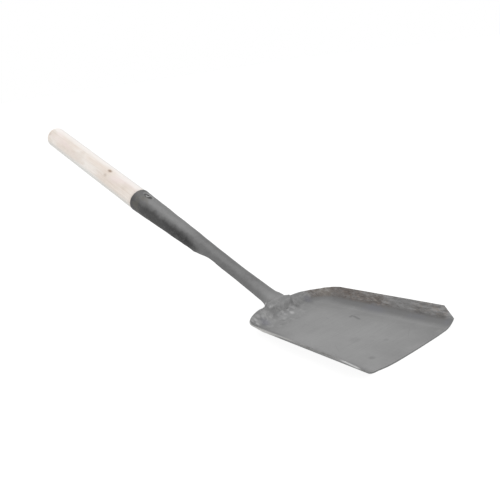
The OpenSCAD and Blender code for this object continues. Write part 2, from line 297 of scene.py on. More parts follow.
# the tongue's end: how far from its tip, half-width
TONGUE = ((0, 12), (0.35, 13.8), (1, 15.4), (2, 16.8), (3.2, 18), (4.8, 19), (7, 19.6))
stations = [flat_st(LAP - v, w) for v, w in TONGUE]
stations += [bend_st(40, 19.8, 0), bend_st(33, 19.8, 0.1), bend_st(26, 19.4, 0.4), bend_st(20.7, 19, 0.9)]
for st in ((6, 11.7, 18.5, 4, 45), (8, 11.4, 17.6, 7.2, 58), (12, 11.2, 16, 8.9, 68), (18, 11, 14.8, 9.2, 72),
           (28, 10.8, 14, 9.2, 74), (42, 10.9, 13.5, 9.1, 73), (58, 11.1, 13, 9.1, 72),
           (75, 11.4, 12.7, 9.2, 72), (90, 11.7, 12.7, 9.2, 72), (108, 12.1, 12.7, 9.3, 72)):
    stations.append(neck_st(*st))
for st in ((124, 12.6, 13.3, 71), (132, 12.9, 13.3, 74), (138, 13.15, 13.3, 79), (143, 13.4, 13.3, 85),
           (148, 13.6, 13.25, 92), (153, 13.85, 13.2, 99), (158, 14.15, 13.15, 107), (163, 14.4, 13.15, 118),
           (167.5, 14.7, 13.15, 133), (172, 14.9, 13.2, 150), (177, 15.1, 13.25, 165),
           (NECK_END, NECK_TOP, NECK_R, 174)):
    stations.append(tube_st(*st))
for k in range(1, 9):
    f = k / 8
    stations.append(tube_st(NECK_END + (SOCKET_END - NECK_END) * f, NECK_TOP + (SOCKET_R - NECK_TOP) * f,
                            NECK_R + (SOCKET_R - NECK_R) * f, 174 + 2.4 * f))
AROUND = 72


def shank_pt(q, k, s):
    """Point k of AROUND at station q, on the outer skin (s 0) or the inner one (s 1)."""
    a = q[5] * (2 * k / AROUND - 1)
    drop = s * STRIP + (q[4] - s * STRIP) * (1 - math.cos(a))
    off = -TONGUE_OFF * (1 - float(smooth(q[0], RIM_Y - 1, RIM_Y - 1 + LEAD_IN)))
    return [off + (q[3] - s * STRIP) * math.sin(a),
            q[0] + drop * math.sin(q[2]) - FRONT_RUN, q[1] - drop * math.cos(q[2])]


def curve_through(points, knots, where):
    """Smooth curve through rows of points: Hermite with limited slopes, so it never overshoots."""
    points, knots, where = np.asarray(points), np.asarray(knots), np.asarray(where)
    h = np.diff(knots)
    shape = (len(h),) + (1,) * (points.ndim - 1)
    s = np.diff(points, axis=0) / h.reshape(shape)
    m = np.zeros_like(points)
    w0, w1 = h[:-1].reshape((-1,) + shape[1:]), h[1:].reshape((-1,) + shape[1:])
    mid = (s[:-1] * w1 + s[1:] * w0) / (w0 + w1)
    bound = 3 * np.minimum(np.abs(s[:-1]), np.abs(s[1:]))
    m[1:-1] = np.where(s[:-1] * s[1:] > 0, np.clip(mid, -bound, bound), 0)
    m[0], m[-1] = s[0], s[-1]
    i = np.clip(np.searchsorted(knots, where, "right") - 1, 0, len(h) - 1)
    t = ((where - knots[i]) / h[i]).reshape((-1,) + shape[1:])
    hh = h[i].reshape((-1,) + shape[1:])
    return ((2 * t**3 - 3 * t**2 + 1) * points[i] + (t**3 - 2 * t**2 + t) * hh * m[i]
            + (-2 * t**3 + 3 * t**2) * points[i + 1] + (t**3 - t**2) * hh * m[i + 1])


skins = [np.array([[shank_pt(q, k, s) for k in range(AROUND + 1)] for q in stations]) for s in (0, 1)]
crown = skins[0][:, AROUND // 2]
knots = np.concatenate([[0], np.cumsum(np.linalg.norm(np.diff(crown, axis=0), axis=1))])
where = np.concatenate([np.linspace(a, b, max(2, int(round((b - a) / 1.5))), endpoint=False)
                        for a, b in zip(knots[:-1], knots[1:])] + [[knots[-1]]])
outer, inner = (curve_through(s, knots, where) for s in skins)
rows_s, cols_s = outer.shape[:2]
# slight forging facets and dents, the same on both skins
flatp = outer.reshape(-1, 3)
along = np.repeat(where, cols_s)
weight = smooth(along, 26, 60)
bump_n = (gnoise(flatp * np.array([1, 0.45, 1]), 0.075, 21) * 0.34 + gnoise(flatp, 0.2, 22) * 0.09) * weight
skin_dir = outer - inner
skin_dir /= np.linalg.norm(skin_dir, axis=2)[:, :, None]
move = bump_n.reshape(rows_s, cols_s)[:, :, None] * skin_dir
outer, inner = outer + move, inner + move
# the tongue's +X corner dressed down over the rim
dressed = smooth(outer[:, :, 0], 8.0, 16.5) * (smooth(where, 2, 6) * (1 - smooth(where, 11, 15)))[:, None]
outer[:, :, 2] -= TONGUE_DRESSED * dressed
outer[:, :, 1] -= 0.2 * dressed
# the neck's +X edge flares out into the tongue in one smooth curve
flare = smooth(outer[:, :, 0], 3.0, 11.0) * (smooth(where, 11, 16) * (1 - smooth(where, 19, 27)))[:, None]
for skin in (outer, inner):
    skin[:, :, 2] += FLARE_UP * flare
    skin[:, :, 0] += FLARE_OUT * flare
# the nail's seat: a shallow dished ring pressed into the socket
nail_t = SOCKET_END - NAIL_BACK
nail_u = NECK_TOP + (SOCKET_R - NECK_TOP) * (nail_t - NECK_END) / (SOCKET_END - NECK_END)
seat = at(nail_t, nail_u) / MM
dist = np.linalg.norm(outer - seat, axis=2)
dish = (0.55 * np.exp(-((dist - 5.0) / 1.3) ** 2) - 0.55 * np.exp(-(dist / 3.9) ** 4))[:, :, None]
outer = outer + dish * skin_dir * np.where(outer[:, :, 2:3] > 60, 1, 0)

n_s = rows_s * cols_s


def vid(j, k):
    """Vertex at station row j, place k across, on the outer skin; the inner skin's comes n_s later."""
    return j * cols_s + k


vs = np.concatenate([outer.reshape(-1, 3), inner.reshape(-1, 3)])
fs = []
for j in range(rows_s - 1):
    for k in range(cols_s - 1):
        q = [vid(j, k), vid(j, k + 1), vid(j + 1, k + 1), vid(j + 1, k)]
        fs += [q, [n_s + q[0], n_s + q[3], n_s + q[2], n_s + q[1]]]
    a, b = vid(j, 0), vid(j + 1, 0)
    fs.append([a, b, n_s + b, n_s + a])
    a, b = vid(j, cols_s - 1), vid(j + 1, cols_s - 1)
    fs.append([a, n_s + a, n_s + b, b])
for k in range(cols_s - 1):
    a, b = vid(0, k), vid(0, k + 1)
    fs.append([a, n_s + a, n_s + b, b])
    a, b = vid(rows_s - 1, k), vid(rows_s - 1, k + 1)
    fs.append([a, b, n_s + b, n_s + a])
shank = new_mesh("shank_strip", vs * MM, fs)
point_attribute(shank, "along", np.concatenate([along, along]) * MM)
turn = np.tile(np.linspace(-1, 1, cols_s), rows_s) * np.repeat(
    curve_through(np.array([[q[5]] for q in stations]), knots, where)[:, 0], cols_s)
point_attribute(shank, "turn", np.concatenate([turn, turn]))
round_edges(shank, SHANK_EDGE_ROUND)

# ---------------------------------------------------------------- weld bead
bead_half = [(w, LAP - v) for v, w in TONGUE[::-1]] + [(8, LAP), (4, LAP), (0, LAP)]
over_rim = [(-20.4, 0.6), (-21.6, 0.1), (-22.2, -0.5)]      # the near end runs out over the rim
bead_path = np.array(bead_half + [(-x, v) for x, v in bead_half[-2::-1]] + over_rim, float)
seg = np.concatenate([[0], np.cumsum(np.linalg.norm(np.diff(bead_path, axis=0), axis=1))])
BEAD_N = 300
s_at = np.linspace(0, seg[-1], BEAD_N + 1)
kern = np.hanning(15)
kern /= kern.sum()
px, pv = (np.convolve(np.pad(np.interp(s_at, seg, bead_path[:, c]) - off, 7, "edge"), kern, "valid")
          for c, off in ((0, TONGUE_OFF), (1, 0.0)))
dx, dv = np.gradient(px), np.gradient(pv)
ln = np.hypot(dx, dv)
nx, nv = dv / ln, -dx / ln
sgn = np.sign(nv[BEAD_N // 2])
nx, nv = nx * sgn, nv * sgn


def wall_xyz(x, v, w):
    """A point x across and v down the back wall's inner face, w above it (mm, row frame)."""
    return [x, RIM_Y - v * math.cos(WALL) - w * math.sin(WALL) - FRONT_RUN,
            RIM_Z - v * math.sin(WALL) + w * math.cos(WALL)]


# section of the bead: run from the tongue's edge (inwards is minus) and height above the wall
section = [(-4.2, 1.60), (-3.4, 1.86), (-2.4, 2.10), (-1.3, 2.28), (-0.2, 2.30), (0.8, 2.14), (1.7, 1.86),
           (2.6, 1.50), (3.5, 1.12), (4.4, 0.76), (5.3, 0.44), (6.2, 0.16), (7.0, -0.12),
           (7.2, -0.5), (2.0, -0.7), (-4.0, 0.9)]
BEAD_G, BEAD_TOP = len(section), 13
wv, wt = [], []
for k in range(BEAD_N + 1):
    # thinner towards both ends, the far one (k 0) most
    ends = (0.40 + 0.60 * float(smooth(k, 10, 60))) * (0.72 + 0.28 * float(smooth(BEAD_N - k, 0, 16)))
    sk = s_at[k]
    wide = 1 + 0.22 * noise.noise(Vector((sk * 0.11, 3.1, 0.7)))
    wide += 0.10 * noise.noise(Vector((sk * 0.4, 8.1, 2.7)))
    for g, (run, hgt) in enumerate(section):
        top = 1.0 if g < BEAD_TOP else 0.0
        edge_in = math.sin(math.pi * min(g, BEAD_TOP - 1) / (BEAD_TOP - 1)) * top
        lump = noise.noise(Vector((sk * 0.24, run * 0.22, 5.0))) * 0.55
        lump += noise.noise(Vector((sk * 0.6, run * 0.5, 9.0))) * 0.22
        rip = (abs(math.sin(sk * 0.95 + 0.6 * math.sin(sk * 0.31) - 0.12 * run * run)) - 0.5) * 0.16
        out = run * (wide if run > 0 else 1) * ends
        up = (hgt + (lump + rip) * edge_in) * (ends if run > 0 else 1) - 0.6 * (1 - ends) * top
        wv.append(wall_xyz(px[k] + nx[k] * out, pv[k] + nv[k] * out, up))
        wt.append(rip + 0.3 * lump)
wf = tube_faces(BEAD_N + 1, BEAD_G)
wf.append([g for g in range(BEAD_G)][::-1])
wf.append([BEAD_N * BEAD_G + g for g in range(BEAD_G)])
# spatter: small drops that stuck to the wall round the bead
rng = np.random.default_rng(11)
DROP_N, DROP_RINGS, SUNK = 10, [(0.0, 1.15), (0.35, 1.0), (0.75, 0.62)], 0.25
for _ in range(40):
    side = rng.choice([-1, 1])
    x = side * (27.0 + rng.exponential(8.0)) if rng.random() < 0.8 else rng.uniform(-26, 26)
    v = rng.uniform(1.5, 15) if abs(x) > 26 else rng.uniform(14.5, 20)
    if abs(x) > 50:
        continue
    r = rng.uniform(0.3, 0.75)
    if v > 15.5 or (abs(x) > 30 and v < 4.5):
        continue
    first = len(wv)
    for hh, rr in DROP_RINGS:
        for g in range(DROP_N):
            a = 2 * math.pi * g / DROP_N
            wv.append(wall_xyz(x + math.cos(a) * r * rr, v + math.sin(a) * r * rr * 1.2, hh * r - SUNK))
    wv.append(wall_xyz(x, v, r * 0.95 - SUNK))
    wt += [0.3] * (len(wv) - first)
    wf += tube_faces(len(DROP_RINGS), DROP_N, first)
    tip, last = len(wv) - 1, len(wv) - 1 - DROP_N
    wf += [[last + g, last + (g + 1) % DROP_N, tip] for g in range(DROP_N)]
    wf.append([first + g for g in range(DROP_N)][::-1])
weld = new_mesh("weld_bead", np.array(wv) * MM, wf)
point_attribute(weld, "ripple", wt)
face_outwards(weld)

# ---------------------------------------------------------------- wooden handle
profile = []      # (t along the axis, radius, how far the centre stands off the axis)
climb = (NECK_TOP - NECK_R) / (SOCKET_END - NECK_END)
slope = (SOCKET_R - NECK_R) / (SOCKET_END - NECK_END)
t0 = SOCKET_END - TENON_LEN + 1
r_in = SOCKET_R - STRIP - TENON_GAP
for t in np.linspace(t0, SOCKET_END + 0.2, 21):
    depth_in = SOCKET_END - t
    profile.append((t, r_in - slope * max(depth_in, 0), climb * max(depth_in, 0)))
profile += [(SOCKET_END + t, GRIP_R - less, 0) for t, less in ((0.25, 0.9), (0.45, 0.35), (1.0, 0.05))]
END_LONG = END_ROUND * 0.8        # the end's rounding is a little shorter than it is deep
grip_0, grip_1 = SOCKET_END + 2.0, SOCKET_END + GRIP_LEN - END_LONG
for k in range(131):
    profile.append((grip_0 + (grip_1 - grip_0) * k / 130, GRIP_R, 0))
for a in range(9, 91, 9):
    c = rad(a)
    profile.append((grip_1 + END_LONG * math.sin(c), GRIP_R - END_ROUND * (1 - math.cos(c)), 0))
for k in range(1, 8):
    profile.append((SOCKET_END + GRIP_LEN, (GRIP_R - END_ROUND) * (1 - k / 8), 0))
RING = 128
hv = []
for t, r, off in profile:
    body = 1 if t > SOCKET_END + 0.4 else 0      # the grip is slightly irregular, the tenon is true
    for g in range(RING):
        a = 2 * math.pi * g / RING
        wob = noise.noise(Vector((math.cos(a) * 0.9, math.sin(a) * 0.9, t * 0.012))) * 0.16 * body
        wob += noise.noise(Vector((math.cos(a) * 5, math.sin(a) * 5, t * 0.03 + 9))) * 0.05 * body
        rr = max(0.0, r + wob * min(1, r / 8) - 0.06 * body)
        hv.append(at(t, off + rr * math.cos(a), rr * math.sin(a)))
hf = tube_faces(len(profile), RING, inside_out=True)
hf.append([g for g in range(RING)])
last = (len(profile) - 1) * RING
hv.append(at(SOCKET_END + GRIP_LEN, 0))
for g in range(RING):
    hf.append([last + g, len(hv) - 1, last + (g + 1) % RING])
handle = new_mesh("wood_handle", hv, hf)

# ---------------------------------------------------------------- nail
# profile from the point to the head's middle: how far above the socket, radius
NAIL = [(-27, 0.3), (-24, 1.2), (-22, 1.55), (-14, 1.6), (-6, 1.6), (-0.4, 1.6), (-0.35, 2.6), (-0.2, 3.2),
        (0.1, 3.5), (0.45, 3.42), (0.7, 3.1), (0.84, 2.5), (0.9, 1.8), (0.86, 1.1), (0.83, 0.5)]
NAIL_N = 40
nail_v = []
for w, r in NAIL:
    for g in range(NAIL_N):
        a = 2 * math.pi * g / NAIL_N
        rr = r * (1 + 0.05 * math.sin(2 * a + 0.6) * (r > 2))
        hh = w + (0.07 * math.sin(3 * a + 1) if w > 0.4 else 0)
        nail_v.append(at(nail_t + rr * math.cos(a), nail_u + hh, rr * math.sin(a)))
nail_f = tube_faces(len(NAIL), NAIL_N)
last = (len(NAIL) - 1) * NAIL_N
nail_f += [[last + g, last + (g + 1) % NAIL_N, len(nail_v)] for g in range(NAIL_N)]
nail_f.append([g for g in range(NAIL_N)][::-1])
nail_v.append(at(nail_t, nail_u + 0.82))
nail = new_mesh("nail_head", nail_v, nail_f)
face_outwards(nail)


# ---------------------------------------------------------------- materials
class Mat:
    """A small helper for node materials."""

    def __init__(self, name):
        self.mat = bpy.data.materials.new(name)
        self.mat.use_nodes = True
        self.nt = self.mat.node_tree
        self.bsdf = next(n for n in self.nt.nodes if n.type == "BSDF_PRINCIPLED")
        self.co = self.nt.nodes.new("ShaderNodeTexCoord").outputs["Object"]

    def node(self, kind, **props):
        n = self.nt.nodes.new(kind)
        for k, v in props.items():
            setattr(n, k, v)
        return n

    def link(self, a, b):
        self.nt.links.new(a, b)

    def put(self, socket, value):
        if isinstance(value, bpy.types.NodeSocket):
            self.link(value, socket)
        else:
            socket.default_value = value

    def mapping(self, scale=(1, 1, 1), rot=(0, 0, 0), loc=(0, 0, 0), src=None):
        n = self.node("ShaderNodeMapping")
        n.inputs["Scale"].default_value = scale
        n.inputs["Rotation"].default_value = rot
        n.inputs["Location"].default_value = loc
        self.link(src or self.co, n.inputs["Vector"])
        return n.outputs[0]

    def noise(self, scale, detail=3.0, rough=0.5, src=None, dist=0.0):
        n = self.node("ShaderNodeTexNoise")
        n.inputs["Scale"].default_value = scale
        n.inputs["Detail"].default_value = detail
        n.inputs["Roughness"].default_value = rough
        n.inputs["Distortion"].default_value = dist
        self.link(src or self.co, n.inputs["Vector"])
        return n.outputs[0]

    def voronoi(self, scale, src=None, feature="F1"):
        n = self.node("ShaderNodeTexVoronoi", feature=feature)
        n.inputs["Scale"].default_value = scale
        self.link(src or self.co, n.inputs["Vector"])
        return n.outputs["Distance"]

    def math(self, op, a, b=0.0, c=0.0, clamp=False):
        n = self.node("ShaderNodeMath", operation=op, use_clamp=clamp)
        for i, v in enumerate((a, b, c)):
            if i < len(n.inputs):
                self.put(n.inputs[i], v)
        return n.outputs[0]

    def mul(self, a, b):
        return self.math("MULTIPLY", a, b)

    def add(self, a, b, clamp=False):
        return self.math("ADD", a, b, clamp=clamp)

    def sub(self, a, b):
        return self.math("SUBTRACT", a, b)

    def mul_add(self, a, b, c):
        return self.math("MULTIPLY_ADD", a, b, c)

    def ramp(self, v, a, b, lo=0.0, hi=1.0):
        """lo where v is a, hi where it is b, eased between."""
        n = self.node("ShaderNodeMapRange", interpolation_type="SMOOTHSTEP")
        self.put(n.inputs["Value"], v)
        for k, x in (("From Min", a), ("From Max", b), ("To Min", lo), ("To Max", hi)):
            n.inputs[k].default_value = x
        return n.outputs[0]

    def mix(self, f, a, b):
        n = self.node("ShaderNodeMix", data_type="RGBA")
        self.put(n.inputs[0], f)
        self.put(n.inputs[6], a)
        self.put(n.inputs[7], b)
        return n.outputs[2]

    def patches(self, size, detail, rough, a, b, lo=0.0, hi=1.0, dist=0.0, **place):
        """Noise eased from lo to hi between a and b; place scales, turns or moves its coordinates."""
        src = self.mapping(**place) if place else None
        return self.ramp(self.noise(size, detail, rough, src=src, dist=dist), a, b, lo, hi)

    def coat(self, base, colour, mask, amount):
        """base with a colour laid over it, as much as mask times amount."""
        return self.mix(self.mul(mask, amount), base, colour)

    def attr(self, name):
        return self.node("ShaderNodeAttribute", attribute_name=name).outputs["Fac"]

    def xyz(self, src=None):
        n = self.node("ShaderNodeSeparateXYZ")
        self.link(src or self.co, n.inputs[0])
        return n.outputs

    def spot(self, centre, size, soft=0.5, src=None, stretch=(1, 1, 1)):
        """1 inside a round spot at a place, falling to 0 at its size (metres)."""
        loc = tuple(-c * s for c, s in zip(centre, stretch))
        v = self.mapping(scale=stretch, loc=loc, src=src)
        n = self.node("ShaderNodeVectorMath", operation="LENGTH")
        self.link(v, n.inputs[0])
        return self.ramp(n.outputs["Value"], size * soft, size, 1.0, 0.0)

    def placed(self, loc, rot):
        """Coordinates in a frame that stands at loc, turned by rot."""
        n = self.node("ShaderNodeMapping", vector_type="TEXTURE")
        n.inputs["Location"].default_value = loc
        n.inputs["Rotation"].default_value = rot
        self.link(self.co, n.inputs["Vector"])
        return n.outputs[0]

    def on_handle(self):
        """Handle coordinates: x across, y along the axis from the tray's rim, z up from the axis."""
        return self.placed(tuple(at(0, 0)), (LIFT, 0, 0))

    def scratch(self, a, b, width):
        """1 along the line from a to b in plan, 0 away from it (metres)."""
        a, b = np.array(a, float), np.array(b, float)
        mid, length = (a + b) / 2, float(np.linalg.norm(b - a))
        s = self.xyz(self.placed((mid[0], mid[1], 0), (0, 0, math.atan2(b[1] - a[1], b[0] - a[0]))))
        u = self.ramp(self.math("ABSOLUTE", s[0]), length * 0.30, length * 0.5, 1, 0)
        w = self.ramp(self.math("ABSOLUTE", s[1]), 0.0, width, 1, 0)
        return self.mul(u, w)

    def bump(self, height, strength, distance):
        n = self.node("ShaderNodeBump")
        n.inputs["Strength"].default_value = strength
        n.inputs["Distance"].default_value = distance
        self.link(height, n.inputs["Height"])
        return n.outputs[0]

    def finish(self, colour, rough, normal, metallic=0.0, spec=0.5):
        self.put(self.bsdf.inputs["Base Color"], colour)
        self.put(self.bsdf.inputs["Roughness"], rough)
        self.bsdf.inputs["Metallic"].default_value = metallic
        self.bsdf.inputs["Specular IOR Level"].default_value = spec
        self.link(normal, self.bsdf.inputs["Normal"])
        return self.mat


def grey(v, warm=0.0):
    return (v * (1 + warm), v, v * (1 - warm), 1)


JOINT = tuple(np.array(wall_xyz(-16, 9, 1)) * MM)
HEAT_TINT = (0.185, 0.185, 0.215, 1)      # blue-grey
# what shows round the joint: ground and heat-marked metal, a painted shadow in the two darkest spots beside
# the tongue's +X edge, and painted highlights in the palest spots on the near back corner's wall and at the
# foot of the tongue; place (mm), radius (mm), how much, colour
JOINT_MARKS_AND_LIGHT = (((-20, 109, 17.5), 5.0, 0.40, grey(0.38)), ((-4, 104, 12), 6.5, 0.35, grey(0.38)),
         ((1.5, 93, 3), 4.2, 0.75, grey(0.46)), ((-53, 101, 14), 6.0, 0.65, grey(0.46)),
         ((-49, 97.5, 9), 6.5, 0.60, grey(0.44)), ((-32, 105, 12.5), 7.0, 0.45, grey(0.42)),
         ((10, 110, 17), 5.0, 0.40, grey(0.36)), ((-27, 100, 8), 4.0, 0.30, grey(0.36)),
         ((12, 104.5, 12), 4.4, 0.65, grey(0.135)), ((15.5, 98.5, 6), 5.0, 0.65, grey(0.135)),
         ((-17, 105.5, 12.5), 3.2, 0.60, grey(0.135)), ((-54.5, 94.5, 8.5), 4.6, 0.85, grey(0.52)),
         ((-51.5, 99.5, 12.5), 4.2, 0.80, grey(0.52)), ((-59, 98, 13.5), 4.0, 0.70, grey(0.46)),
         ((-44, 104, 13.5), 4.6, 0.65, grey(0.44)), ((-38, 103, 11), 3.6, 0.60, grey(0.44)),
         ((-47, 93, 4.5), 4.0, 0.45, grey(0.17)), ((-69, 86, 16), 5.0, 0.50, grey(0.15)),
         ((-23, 97.5, 5.5), 7.5, 0.40, grey(0.16)), ((-37, 99.5, 8.5), 3.5, 0.35, grey(0.16)),
         ((-42, 96, 5), 10, 0.5, HEAT_TINT), ((37, 100, 8), 8, 0.5, HEAT_TINT))
# scratches on the floor in plan: from, to, half-width (m), how much
SCRATCHES = (((0.0300, 0.0238), (0.0385, 0.0250), 0.0030, 0.9),
             ((0.0370, 0.0245), (0.0318, 0.0080), 0.0030, 1.0),
             ((0.0390, 0.0250), (0.0432, 0.0235), 0.0018, 0.45),
             ((0.0432, 0.0240), (0.0400, 0.0160), 0.0018, 0.35),
             ((-0.0001, -0.0309), (0.0061, -0.0358), 0.0018, 0.22),
             ((-0.0093, -0.0380), (-0.0037, -0.0420), 0.0018, 0.22),
             ((-0.048, -0.030), (-0.036, -0.012), 0.0008, 0.3),
             ((0.020, -0.068), (0.046, -0.052), 0.0007, 0.3),
             ((-0.030, 0.050), (-0.010, 0.056), 0.0007, 0.3), ((0.012, 0.040), (0.018, 0.052), 0.0008, 0.3))


def joint_paint(m, base, amount=1.0):
    """Ground, heat-marked metal round the weld, with painted shadow and painted highlights from the marks:
    the same pattern on every piece it runs across.

    Gives the colour and how far each place stands out, both from the same noise."""
    near = m.mul(m.spot(JOINT, 0.058, 0.35, stretch=(0.95, 1.2, 1.2)), amount)
    blob = m.noise(165, 2, 0.5, dist=0.5)
    fine = m.noise(420, 3, 0.6)
    light = m.ramp(m.mul_add(fine, 0.22, m.mul(blob, 0.78)), 0.50, 0.64)
    dark = m.patches(150, 2, 0.5, 0.53, 0.68, dist=0.4, loc=(1, 7, 3))
    base = m.coat(base, grey(0.270), near, 0.65)
    base = m.coat(base, grey(0.41), m.mul(near, light), 0.55)
    base = m.coat(base, grey(0.19), m.mul(near, dark), 0.42)
    # spots round the joint, some of them painted shadow and painted highlights
    for c, r, k, colour in JOINT_MARKS_AND_LIGHT:
        seen_at = m.spot(tuple(np.array(c, float) * MM), r * MM, 0.2)
        base = m.coat(base, colour, seen_at, m.mul(amount, k))
    return base, m.mul(near, m.sub(light, dark))


def tray_material():
    m = Mat("tray_steel")
    wall = m.attr("wall")
    s = m.xyz()
    # satin rolled sheet: cloudy grey with fine streaks across the tray
    cloud = m.noise(20, 4, 0.55)
    fine = m.noise(420, 3, 0.6)
    streak = m.noise(60, 4, 0.6, src=m.mapping(scale=(0.35, 9, 9)))
    streak2 = m.noise(90, 3, 0.6, src=m.mapping(scale=(7, 0.5, 7)))
    base = m.mix(m.ramp(cloud, 0.34, 0.66), grey(0.258), grey(0.314))
    # painted highlight: a broad lighter spot in the middle of the floor
    base = m.coat(base, grey(0.345), m.spot((0.0, 0.0, 0.0015), 0.100, 0.1, stretch=(1, 0.8, 1)), 0.55)
    base = m.coat(base, grey(0.235), m.ramp(streak, 0.45, 0.72), 0.30)
    base = m.coat(base, grey(0.37), m.ramp(streak2, 0.5, 0.75), 0.26)
    base = m.coat(base, grey(0.25), m.ramp(fine, 0.5, 0.8), 0.25)
    # painted shade: a darker band along the fold, darkest on the right, and painted light on the floor at the
    # back where it rises into the fold; a cool heat tint in places along the band
    at_back = m.ramp(s[1], 0.045, 0.078)
    base = m.coat(base, grey(0.40), m.mul(at_back, m.ramp(wall, 0.30, 0.05)), 0.28)
    painted_fold_shade = m.mul(m.ramp(m.mul_add(at_back, -0.12, wall), 0.05, 0.70), m.ramp(wall, 0.90, 1.30, 1, 0))
    base = m.coat(base, grey(0.145), painted_fold_shade, m.ramp(s[0], -0.01, 0.06, 0.12, 0.88))
    tint_at = m.mul(painted_fold_shade, m.patches(26, 2, 0.5, 0.48, 0.6, loc=(3, 1, 2)))
    base = m.coat(base, (0.165, 0.170, 0.200, 1), tint_at, 0.3)
    # mill scale on the walls: grey mottling everywhere, brown speckle only on the right-hand side
    high = m.ramp(wall, 0.80, 1.10)
    right = m.mul(m.ramp(s[0], 0.036, 0.052), high)
    runs = m.noise(260, 5, 0.72, src=m.mapping(scale=(1, 0.30, 1.3)))
    runs2 = m.noise(520, 3, 0.7, src=m.mapping(scale=(1, 0.30, 1.2), loc=(1, 2, 3)))
    blotch = m.noise(70, 3, 0.55, src=m.mapping(scale=(1, 0.6, 1), loc=(2, 4, 1)))
    dark = m.mul(m.ramp(runs, 0.42, 0.60), high)
    base = m.coat(base, grey(0.155, 0.01), dark, 0.42)
    # brown from the back corner to the middle and again near the front, grey between
    zone = m.math("MAXIMUM", m.ramp(s[1], -0.016, 0.004), m.ramp(s[1], -0.032, -0.044))
    zone = m.mul(m.mul_add(zone, 0.80, 0.20), m.ramp(s[1], -0.086, -0.076))
    rust_zone = m.mul(right, m.mul(zone, m.ramp(blotch, 0.34, 0.52, 0.62, 1.0)))
    rust = m.mul(rust_zone, m.ramp(runs, 0.34, 0.56, 0.40, 1.0))
    base = m.coat(base, (0.192, 0.167, 0.150, 1), m.mul(rust, m.ramp(s[1], -0.050, -0.020, 0.30, 1.0)),
                  0.66)
    spk = m.ramp(runs2, 0.52, 0.64)
    base = m.coat(base, (0.33, 0.285, 0.255, 1), m.mul(spk, rust_zone), 0.60)
    spk2 = m.patches(430, 3, 0.7, 0.56, 0.67, scale=(1, 0.4, 1), loc=(7, 2, 6))
    spk2 = m.mul(m.mul(spk2, right), m.ramp(s[1], -0.050, -0.020, 0.35, 1.0))
    base = m.coat(base, (0.105, 0.090, 0.080, 1), spk2, 0.65)
    pale = m.mul(m.patches(180, 4, 0.65, 0.54, 0.68, scale=(1, 0.5, 1), loc=(9, 9, 1)), high)
    base = m.coat(base, grey(0.32, 0.01), m.mul(pale, m.ramp(s[0], 0.03, 0.06, 1.0, 0.5)), 0.40)
    base = m.coat(base, grey(0.34), m.spot((0.0750, 0.000, 0.0145), 0.009, 0.2, stretch=(1, 0.7, 1)), 0.35)
    base = m.coat(base, grey(0.17), m.spot((0.0765, -0.020, 0.0120), 0.018, 0.2, stretch=(1, 0.8, 1)), 0.45)
    pale_at = m.mul(m.spot((0.063, 0.093, 0.012), 0.015, 0.3),
                    m.mul(high, m.ramp(runs2, 0.34, 0.56, 1.0, 0.35)))
    base = m.coat(base, (0.37, 0.348, 0.318, 1), pale_at, 0.70)
    for c, r, k in (((0.0700, 0.0850, 0.0130), 0.0065, 0.60), ((0.0745, 0.0700, 0.0150), 0.0060, 0.40),
                    ((0.0560, 0.1040, 0.0150), 0.0060, 0.35), ((0.0735, 0.0620, 0.0120), 0.0110, 0.50)):
        streak_at = m.mul(m.spot(c, r, 0.2, stretch=(1, 1, 0.7)), m.mul(high, k))
        base = m.mix(streak_at, base, (0.130, 0.103, 0.088, 1))
    # painted light: lighter along the near side's floor edge and the foot of its fold
    near_floor = m.mul(m.ramp(wall, 0.60, 0.20), m.ramp(s[0], -0.018, -0.044))
    near_floor = m.mul(near_floor, m.ramp(s[1], 0.050, 0.030))
    base = m.coat(base, grey(0.375), near_floor, 0.18)
    base = m.coat(base, grey(0.37), m.spot((0.0525, -0.0860, 0.0030), 0.0065, 0.2), 0.45)
    # ground and heat-marked metal round the weld, with its painted shadow and painted highlights
    base, ground = joint_paint(m, base)
    ground = m.mul(ground, m.ramp(wall, 0.25, 0.9))
    # scratches and smudges on the floor
    lines = None
    for a, b, w, k in SCRATCHES:
        one = m.mul(m.scratch(a, b, w), k)
        lines = one if lines is None else m.math("MAXIMUM", lines, one)
    flat_only = m.ramp(wall, 0.0, 0.15, 1, 0)
    lines = m.mul(lines, flat_only)
    base = m.coat(base, grey(0.15), lines, 0.62)
    for c, r, k in (((-0.0387, -0.0663, 0.0015), 0.0055, 0.4), ((-0.0146, -0.0228, 0.0015), 0.010, 0.2),
                    ((0.0038, -0.0513, 0.0015), 0.0048, 0.25)):
        base = m.coat(base, grey(0.16), m.spot(c, r, 0.2), k)
    hair = m.ramp(m.voronoi(34, feature="DISTANCE_TO_EDGE",
                            src=m.mapping(scale=(1, 3.2, 1), rot=(0, 0, 0.5))), 0.0, 0.010, 1, 0)
    hair = m.mul(hair, m.patches(40, 2, 0.5, 0.52, 0.6))
    base = m.coat(base, grey(0.38), hair, 0.2)
    rough = m.ramp(cloud, 0.2, 0.8, 0.44, 0.54)
    rough = m.add(rough, m.mul(rust, 0.28))
    rough = m.add(rough, m.mul(dark, 0.10), clamp=True)
    h = m.add(m.mul(fine, 0.25), m.mul(streak, 0.35))
    h = m.add(h, m.mul(rust, 1.2))
    h = m.sub(h, m.mul(lines, 2.0))
    h = m.sub(h, m.mul(hair, 0.4))
    h = m.add(h, m.mul(ground, 1.6))
    return m.finish(base, rough, m.bump(h, 0.35, 0.0002), metallic=0.65)


